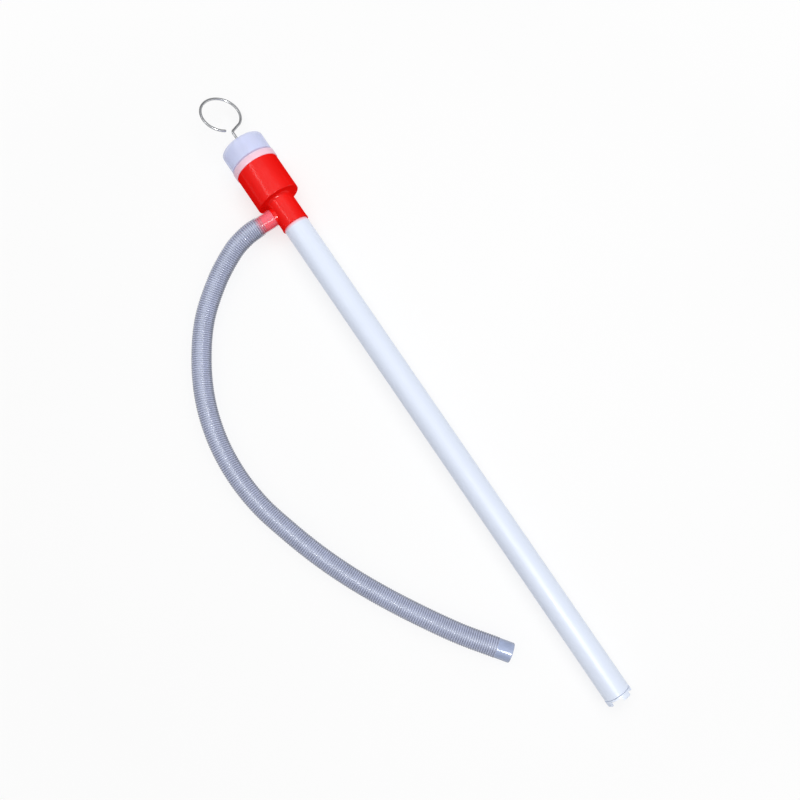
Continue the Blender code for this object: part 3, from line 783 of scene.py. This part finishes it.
def make_hose():
    centres = hose_middle()
    outer, bore, valley, ribbed = hose_rings(centres)
    count = len(centres)
    rows = [(i, outer[i] * MM) for i in range(count)]
    rows += [(i, bore[i] * MM) for i in reversed(range(count))]
    hose = sweep("discharge_hose", centres, (0.0, 0.0, 1.0), rows, HOSE_SIDES, closed=True)
    order = list(range(count)) + list(reversed(range(count)))
    around = np.arange(HOSE_SIDES) * 2 * np.pi / HOSE_SIDES
    flanks = np.tile(np.abs(np.cos(around)), len(order))
    to_spigot_end = SPIGOT_END - CUFF_START - RIB_PITCH / ROWS_PER_RIB * np.array(order)
    over_spigot = np.clip(to_spigot_end / SPIGOT_FADE + 0.5, 0.0, 1.0)
    # The valley and flank values drive the material's painted shade in the valleys and down the sides,
    # and its painted highlight along the top and bottom
    paint(hose, "valley", np.repeat(np.array([valley[i] for i in order]), HOSE_SIDES))
    paint(hose, "flank", flanks)
    paint(hose, "over_spigot", np.repeat(over_spigot, HOSE_SIDES))
    dress(hose, "pump", "clear_grey_plastic", RIBBED,
          "outlet_hose", "hose_outlet_cuff", "hose_end_cuff")
    hose.visible_shadow = False
    hose.data.materials.append(OUTLET_CUFF_PAINTED_RED)
    hose.data.materials.append(END_CUFF_PAINTED_SHADE)
    slots = []
    for i in range(len(order)):
        here, there = order[i], order[(i + 1) % len(order)]
        near_start = here < count / 2
        slots.append(0 if ribbed[here] or ribbed[there] else 1 if near_start else 2)
    indices = np.repeat(np.array(slots, np.int32), HOSE_SIDES)
    hose.data.polygons.foreach_set("material_index", indices)


make_hose()


# ---------------------------------------------------------------- tube and head


def make_barrel():
    outline = rounded([
        (TUBE_RADIUS, TUBE_TOP, 0.3),
        (TUBE_RADIUS, 0.0, 0.4),
        (TUBE_BORE, 0.0, 0.3),
        (TUBE_BORE, TUBE_TOP, 0.3),
    ])
    dress(lathe("barrel", outline), "pump", "pale_plastic", PALE, "barrel_tube")


def make_head():
    lip_top = NECK_FOOT + NECK_LIP_HEIGHT
    outline = rounded([
        (0.0, RIM_TOP, 0),
        (RIM_RADIUS, RIM_TOP, 0.5),
        (RIM_RADIUS, RIM_FOOT, 0.3),
        (CHAMBER_RADIUS, RIM_FOOT, 0.2),
        (CHAMBER_RADIUS, SHOULDER, SHOULDER_ROUND),
        (NECK_RADIUS, SHOULDER, NECK_FILLET),
        (NECK_RADIUS, lip_top + 0.3, 0.2),
        (NECK_LIP_RADIUS, lip_top, 0.25),
        (NECK_LIP_RADIUS, NECK_FOOT, 0.5),
        (0.0, NECK_FOOT, 0),
    ], steps=8, closed=False)
    head = lathe("pump_head", outline, closed=False)
    sideways = Matrix.Translation((0.0, 0.0, SPIGOT_HEIGHT)) @ Matrix.Rotation(math.radians(90), 4, "Y")
    spigot_outline = rounded([
        (0.0, SPIGOT_END, 0),
        (SPIGOT_RADIUS, SPIGOT_END, 0.5),
        (SPIGOT_RADIUS, BOSS_END, 0.3),
        (BOSS_RADIUS, BOSS_END, 0.4),
        (BOSS_RADIUS, SPIGOT_ROOT, 0.0),
        (0.0, SPIGOT_ROOT, 0),
    ], closed=False)
    spigot = lathe("spigot_form", spigot_outline, FINE_STEPS, closed=False, spin=sideways)
    combine(head, spigot, "UNION")
    overshoot = 5.0
    hollow_outline = rounded([
        (0.0, RIM_TOP + overshoot, 0),
        (CHAMBER_BORE, RIM_TOP + overshoot, 0),
        (CHAMBER_BORE, CHAMBER_FLOOR, 1.2),
        (THROAT_RADIUS, CHAMBER_FLOOR, 0.5),
        (THROAT_RADIUS, SOCKET_TOP, 0.3),
        (SOCKET_RADIUS, SOCKET_TOP, 0),
        (SOCKET_RADIUS, NECK_FOOT - overshoot, 0),
        (0.0, NECK_FOOT - overshoot, 0),
    ], closed=False)
    combine(head, lathe("hollow_form", hollow_outline, closed=False), "DIFFERENCE")
    bore_outline = [(0.0, SPIGOT_END + overshoot), (SPIGOT_BORE, SPIGOT_END + overshoot),
                    (SPIGOT_BORE, SPIGOT_ROOT / 2), (0.0, SPIGOT_ROOT / 2)]
    bore = lathe("bore_form", bore_outline, SPIGOT_BORE_STEPS, closed=False, spin=sideways)
    combine(head, bore, "DIFFERENCE")
    dress(head, "pump", "red_plastic", RED, "pump_body")


# ---------------------------------------------------------------- foot plug and valve


def make_foot_plug():
    outline = rounded([
        (PLUG_RADIUS, PLUG_TOP, 0.3),
        (PLUG_RADIUS, -GAP, 0.0),
        (FLANGE_RADIUS, -GAP, 0.3),
        (FLANGE_RADIUS, LUG_FOOT, 0.5),
        (LUG_INNER, LUG_FOOT, 0.4),
        (LUG_INNER, FLANGE_FOOT, 0.2),
        (INLET_RADIUS, FLANGE_FOOT, 0.3),
        (INLET_RADIUS, SEAT_CONE_FOOT, 0.0),
        (SEAT_BORE, SEAT_CONE_TOP, 0.2),
        (SEAT_BORE, SEAT_LEDGE, 0.2),
        (SEAT_RECESS, SEAT_LEDGE, 0.0),
        (SEAT_RECESS, PLUG_TOP, 0.2),
    ])
    plug = lathe("foot_plug", outline)
    overlap = 1.0
    gap_height = FLANGE_FOOT - LUG_FOOT + overlap
    gap_size = (LUG_GAP, 4 * FLANGE_RADIUS, gap_height)
    gap_centre = (0.0, 0.0, FLANGE_FOOT - gap_height / 2)
    web_size = (2 * INLET_RADIUS + overlap, WEB_THICKNESS, WEB_HEIGHT)
    web_centre = (0.0, 0.0, FLANGE_FOOT + WEB_INSET + WEB_HEIGHT / 2)
    for i in range(2):
        turn = LUG_TURN + i * math.radians(90)
        combine(plug, block("gap_form", gap_size, gap_centre, turn), "DIFFERENCE")
        combine(plug, block("web_form", web_size, web_centre, turn), "UNION")
    dress(plug, "pump", "pale_plastic", PALE_MOULDED, "foot_valve_body")


def make_foot_valve():
    seat_foot = SEAT_LEDGE + GAP
    seat = lathe("valve_seat", rounded([
        (SEAT_RADIUS, PLUG_TOP, 0.3),
        (SEAT_RADIUS, seat_foot, 0.3),
        (SEAT_BORE, seat_foot, 0.3),
        (SEAT_BORE, PLUG_TOP - SEAT_CHAMFER, 0.2),
        (SEAT_BORE + SEAT_CHAMFER, PLUG_TOP, 0.2),
    ]), FINE_STEPS)
    dress(seat, "pump", "black_rubber", RUBBER, "foot_valve_seat_ring")

    ball = bpy.data.meshes.new("check_ball")
    shape = bmesh.new()
    bmesh.ops.create_icosphere(shape, subdivisions=5, radius=BALL_RADIUS)
    shape.to_mesh(ball)
    shape.free()
    ball.transform(PUMP @ SCALE @ Matrix.Translation((0.0, 0.0, BALL_HEIGHT)))
    ball_object = bpy.data.objects.new("check_ball", ball)
    bpy.context.scene.collection.objects.link(ball_object)
    dress(ball_object, "valve_ball", "steel_ball", BALL, "foot_valve_ball")

    cage_foot = PLUG_TOP + GAP
    cage = lathe("ball_cage", rounded([
        (CAGE_RADIUS, CAGE_PLATE_TOP, 0.5),
        (CAGE_RADIUS, cage_foot, 0.3),
        (CAGE_BORE, cage_foot, 0.2),
        (CAGE_BORE, CAGE_PLATE_FOOT, 0.3),
        (CAGE_TOP_HOLE, CAGE_PLATE_FOOT, 0.3),
        (CAGE_TOP_HOLE, CAGE_PLATE_TOP, 0.3),
    ]), FINE_STEPS)
    window_foot = cage_foot + CAGE_BASE_BAND
    window_height = CAGE_PLATE_FOOT - CAGE_TOP_BAND - window_foot
    size = (CAGE_WINDOW, 4 * CAGE_RADIUS, window_height)
    centre = (0.0, 0.0, window_foot + window_height / 2)
    for i in range(2):
        combine(cage, block("window_form", size, centre, i * math.radians(90)), "DIFFERENCE")
    dress(cage, "pump", "natural_plastic", NATURAL, "foot_valve_cage")


# ---------------------------------------------------------------- cap


def make_cap():
    groove_foot = CAP_STEP + GROOVE_INSET
    groove_top = groove_foot + GROOVE_HEIGHT
    cap = lathe("push_cap", rounded([
        (CAP_RADIUS, CAP_TOP, 1.8),
        (CAP_RADIUS, groove_top + GROOVE_DEPTH, 0.2),
        (CAP_RADIUS - GROOVE_DEPTH, groove_top, 0.1),
        (CAP_RADIUS - GROOVE_DEPTH, groove_foot, 0.1),
        (SKIRT_RADIUS, CAP_STEP, 0.4),
        (SKIRT_RADIUS, SKIRT_FOOT, 0.25),
        (SKIRT_BORE, SKIRT_FOOT, 0.25),
        (SKIRT_BORE, SKIRT_STEP, 0.1),
        (CAP_BORE, SKIRT_STEP, 0.2),
        (CAP_BORE, CAP_INNER_TOP, 1.0),
        (CAP_HOLE, CAP_INNER_TOP, 0.2),
        (CAP_HOLE, CAP_TOP, 0.2),
    ], steps=6))
    dress(cap, "cap_set", "milky_plastic", MILKY, "cap")
    cap.visible_shadow = False

    gasket_foot = RIM_TOP + GAP
    gasket_top = gasket_foot + GASKET_THICKNESS
    gasket = lathe("cap_seal", rounded([
        (SKIRT_BORE - GAP, gasket_top, 0.3),
        (SKIRT_BORE - GAP, gasket_foot, 0.3),
        (CAP_BORE, gasket_foot, 0.3),
        (CAP_BORE, gasket_top, 0.3),
    ]))
    dress(gasket, "cap_set", "black_rubber", RUBBER, "cap_gasket")

    lower, upper = CAP_INNER_TOP - GAP, CAP_TOP + GAP
    grommet = lathe("rod_guide", rounded([
        (COLLAR_RADIUS, upper + COLLAR_HEIGHT, 0.5),
        (COLLAR_RADIUS, upper, 0.1),
        (CAP_HOLE - GAP, upper, 0.0),
        (CAP_HOLE - GAP, lower, 0.0),
        (COLLAR_RADIUS, lower, 0.1),
        (COLLAR_RADIUS, lower - COLLAR_HEIGHT, 0.4),
        (ROD_HOLE, lower - COLLAR_HEIGHT, 0.15),
        (ROD_HOLE, upper + COLLAR_HEIGHT, 0.3),
    ]), FINE_STEPS)
    dress(grommet, "cap_set", "natural_plastic", NATURAL, "rod_grommet")


# ---------------------------------------------------------------- rod, nuts and washers


def ring_point(lateral, height):
    """A point in the finger ring's plane, which is turned about the rod."""
    return (-lateral * math.cos(RING_TURN), -lateral * math.sin(RING_TURN), height)


def make_rod():
    thread_rows = round((THREAD_TOP - ROD_FOOT) / THREAD_PITCH * ROWS_PER_THREAD)
    line = [ring_point(0.0, ROD_FOOT + i * (THREAD_TOP - ROD_FOOT) / thread_rows)
            for i in range(thread_rows + 1)]
    straight_top = ROD_BEND - BEND_CORNER
    straight_rows = 60
    line += [ring_point(0.0, THREAD_TOP + (straight_top - THREAD_TOP) * i / straight_rows)
             for i in range(1, straight_rows)]
    bend_rows = 12
    for i in range(bend_rows + 1):
        t = i / bend_rows
        before = (1 - t) * (1 - t) * BEND_CORNER
        after = t * t * BEND_CORNER
        height = ROD_BEND - before + after * math.sin(BEND_RISE)
        line.append(ring_point(after * math.cos(BEND_RISE), height))
    ring_rows = 140
    for i in range(ring_rows + 1):
        a = RING_START + (RING_END - RING_START) * i / ring_rows
        height = RING_CENTRE - RING_HALF_LENGTH * math.cos(a)
        line.append(ring_point(RING_HALF_WIDTH * math.sin(a), height))
    centres = [in_world(point) for point in line]
    turns = np.arange(ROD_SIDES) / ROD_SIDES
    rows = []
    last = len(centres) - 1
    fade_in, fade_out = 8, 12
    for i in range(len(centres)):
        radius = np.full(ROD_SIDES, ROD_RADIUS)
        if i < thread_rows:
            wave = (line[i][2] / THREAD_PITCH - turns) % 1.0
            fade = min(1.0, i / fade_in, (thread_rows - i) / fade_out)
            radius = radius - THREAD_DEPTH * fade * np.abs(2 * wave - 1)
        if i in (0, last):
            radius = radius - ROD_END_CUT
        rows.append((i, radius * MM))
    reference = PUMP.to_3x3() @ Vector((math.sin(RING_TURN), -math.cos(RING_TURN), 0.0))
    rod = sweep("rod_wire", [tuple(c) for c in centres], tuple(reference), rows, ROD_SIDES, closed=False)
    dress(rod, "rod", "steel_wire", WIRE, "pull_rod")


def make_nut(name, node, foot):
    """A hexagonal nut with the corners of both faces turned down."""
    corner = NUT_FLATS / 2 / math.cos(math.radians(30))
    top = foot + NUT_HEIGHT
    nut = lathe(name, [(0.0, top), (corner, top), (corner, foot), (0.0, foot)], 6, closed=False)
    reach = corner + NUT_CONE_EXCESS
    face = NUT_FLATS / 2 * NUT_FACE
    drop = NUT_SLOPE * (reach - face)
    cone = lathe("cone_form", [
        (0.0, top), (face, top), (reach, top - drop), (reach, foot + drop), (face, foot), (0.0, foot),
    ], FINE_STEPS, closed=False)
    combine(nut, cone, "INTERSECT")
    combine(nut, rod_form("nut_bore_form", NUT_BORE, foot - 1, top + 1, NUT_BORE_STEPS), "DIFFERENCE")
    dress(nut, "rod", "zinc_steel", ZINC, node)
    smooth(nut, 20)


def make_washer(name, node, outer, bore, foot, height, body, slot, material):
    """A flat ring round the rod, with its edges broken."""
    washer = lathe(name, rounded([
        (outer, foot + height, 0.15),
        (outer, foot, 0.15),
        (bore, foot, 0.1),
        (bore, foot + height, 0.1),
    ], steps=4), FINE_STEPS)
    dress(washer, body, slot, material, node)


def make_rod_fittings():
    nut_step = NUT_HEIGHT + GAP
    make_nut("lock_nut", "rod_lock_nut", LOCK_NUT_FOOT)
    make_nut("clamp_nut", "rod_nut_lower", LOCK_NUT_FOOT + nut_step)
    stop_washer_foot = HUB_TOP + GAP + SPACER_HEIGHT + GAP
    make_nut("top_nut", "stop_nut", stop_washer_foot + WASHER_THICKNESS + GAP)
    make_washer("clamp_washer", "rod_washer", WASHER_RADIUS, ROD_HOLE,
                LOCK_NUT_FOOT + 2 * nut_step, WASHER_THICKNESS, "rod", "zinc_steel", ZINC)
    make_washer("stop_washer", "valve_stop_washer", WASHER_RADIUS, ROD_HOLE,
                stop_washer_foot, WASHER_THICKNESS, "rod", "zinc_steel", ZINC)
    make_washer("lift_sleeve", "valve_spacer", SPACER_RADIUS, ROD_HOLE,
                HUB_TOP + GAP, SPACER_HEIGHT, "rod", "zinc_steel", ZINC)


# ---------------------------------------------------------------- piston


def cut_ports(obj):
    """Cuts the ring of water holes through a piece of the piston."""
    for i in range(PORT_COUNT):
        a = 2 * math.pi * i / PORT_COUNT
        place = (PORT_CIRCLE * math.cos(a), PORT_CIRCLE * math.sin(a))
        port = rod_form("port_form", PORT_RADIUS, PISTON_FOOT - 1, HUB_TOP + 1, PORT_STEPS, place)
        combine(obj, port, "DIFFERENCE")


def make_piston():
    plate_top = PISTON_FOOT + PISTON_PLATE
    body = lathe("piston_hub", rounded([
        (HUB_RADIUS, HUB_TOP, 0.2),
        (HUB_RADIUS, plate_top, 0.2),
        (PISTON_RADIUS, plate_top, 0.2),
        (PISTON_RADIUS, PISTON_FOOT, 0.5),
        (ROD_HOLE, PISTON_FOOT, 0.15),
        (ROD_HOLE, HUB_TOP, 0.15),
    ]), FINE_STEPS)
    cut_ports(body)
    dress(body, "piston", "natural_plastic", NATURAL, "piston_body")

    base_foot = plate_top + GAP
    base_top = base_foot + CUP_BASE
    body_top = base_foot + CUP_BODY_HEIGHT
    spreader_hole = SPREADER_RADIUS + GAP
    cup = lathe("cup_seal", rounded([
        (CUP_LIP_RADIUS - CUP_LIP_THICKNESS / 2, CUP_LIP_TOP, 0.1),
        (CUP_LIP_RADIUS, CUP_LIP_TOP - CUP_LIP_THICKNESS / 2, 0.15),
        (CUP_LIP_RADIUS, base_foot, CUP_HEEL),
        (HUB_RADIUS + GAP, base_foot, 0.1),
        (HUB_RADIUS + GAP, base_top, 0.1),
        (spreader_hole, base_top, 0.3),
        (spreader_hole, body_top, 0.5),
        (CUP_LIP_RADIUS - CUP_LIP_THICKNESS, CUP_LIP_TOP, 0.1),
    ]))
    cut_ports(cup)
    dress(cup, "piston", "black_rubber", RUBBER, "piston_cup_seal")

    spreader_foot = base_top + GAP
    spreader = lathe("cup_spreader", rounded([
        (SPREADER_RADIUS, HUB_TOP, 0.25),
        (SPREADER_RADIUS, spreader_foot, 0.25),
        (HUB_RADIUS + GAP, spreader_foot, 0.1),
        (HUB_RADIUS + GAP, HUB_TOP, 0.1),
    ]), FINE_STEPS)
    cut_ports(spreader)
    dress(spreader, "piston", "natural_plastic", NATURAL, "piston_cup_spreader")

    make_washer("flap_disc", "piston_valve_disc", DISC_RADIUS, DISC_BORE, HUB_TOP + GAP,
                DISC_THICKNESS, "valve_disc", "black_rubber", RUBBER)


make_barrel()
make_head()
make_foot_plug()
make_foot_valve()
make_cap()
make_rod()
make_rod_fittings()
make_piston()


# ---------------------------------------------------------------- floor and light


def make_floor():
    corners = [(x * FLOOR_HALF, y * FLOOR_HALF, -FLOOR_DROP)
               for x, y in ((-1, -1), (1, -1), (1, 1), (-1, 1))]
    floor = mesh_object("floor", corners, [(0, 1, 2, 3)], Matrix.Identity(4))
    n = Nodes("floor_look")
    tone = n.mix(n.noise(3.0), shade((0.25, 0.25, 0.25), 1.0), shade((0.27, 0.27, 0.27), 1.0))
    reach = n.add("ShaderNodeVectorMath", Vector=n.place)
    reach.operation = "LENGTH"
    glow = n.span(reach.outputs["Value"], NEAR_GLOW, FAR_GLOW, NEAR_REACH, FAR_REACH)
    floor.data.materials.append(n.finish(
        Base_Color=tone, Roughness=0.9, Specular_IOR_Level=0.0,
        Emission_Color=(1.0, 1.0, 1.0, 1.0), Emission_Strength=glow))


def make_lamp(name, place, aim, size, power):
    lamp = bpy.data.lights.new(name, "AREA")
    lamp.shape = "RECTANGLE"
    lamp.size, lamp.size_y = size
    lamp.energy = power
    obj = bpy.data.objects.new(name, lamp)
    bpy.context.scene.collection.objects.link(obj)
    obj.location = place
    way = Vector(aim) - Vector(place)
    obj.rotation_mode = "QUATERNION"
    obj.rotation_quaternion = way.to_track_quat("-Z", "Y")
    obj.visible_camera = False
    return obj


def make_lamps():
    """A broad lamp without gloss, and two without diffuse light that place the highlights."""
    overhead = make_lamp("overhead", place=(0.0, -0.2, 1.7), aim=(0.0, 0.0, 0.0),
                         size=(2.4, 1.8), power=27.0)
    overhead.visible_glossy = False
    side = make_lamp("side_strip", place=(0.7, 0.95, 1.45), aim=(0.1, 0.0, 0.0),
                     size=(1.8, 0.14), power=4.6)
    side.visible_diffuse = False
    spot = make_lamp("foot_spot", place=(-0.64, 0.1, 1.3), aim=(-0.15, 0.1, 0.0),
                     size=(0.55, 0.35), power=14.5)
    spot.visible_diffuse = False


def make_sky():
    """A white dome, brightest overhead. To the camera it is one even tone."""
    world = bpy.data.worlds.new("studio")
    bpy.context.scene.world = world
    world.use_nodes = True
    nodes, links = world.node_tree.nodes, world.node_tree.links
    background = nodes["Background"]
    place = nodes.new("ShaderNodeTexCoord")
    tilt = nodes.new("ShaderNodeVectorMath")
    tilt.operation = "DOT_PRODUCT"
    links.new(place.outputs["Generated"], tilt.inputs[0])
    tilt.inputs[1].default_value = SKY_BRIGHT_WAY
    ramp = nodes.new("ShaderNodeMapRange")
    ramp.interpolation_type = "SMOOTHSTEP"
    ramp.inputs["From Min"].default_value = SKY_DARK_LEAN
    ramp.inputs["From Max"].default_value = SKY_BRIGHT_LEAN
    ramp.inputs["To Min"].default_value = SKY_DARK
    ramp.inputs["To Max"].default_value = SKY_BRIGHT
    links.new(tilt.outputs["Value"], ramp.inputs["Value"])
    path = nodes.new("ShaderNodeLightPath")
    level = nodes.new("ShaderNodeMix")
    links.new(path.outputs["Is Camera Ray"], level.inputs[0])
    links.new(ramp.outputs["Result"], level.inputs[2])
    level.inputs[3].default_value = SKY_SEEN
    links.new(level.outputs[0], background.inputs["Strength"])
    background.inputs["Color"].default_value = (1.0, 1.0, 1.0, 1.0)


make_floor()
make_lamps()
make_sky()
bpy.context.scene.view_settings.view_transform = "Standard"
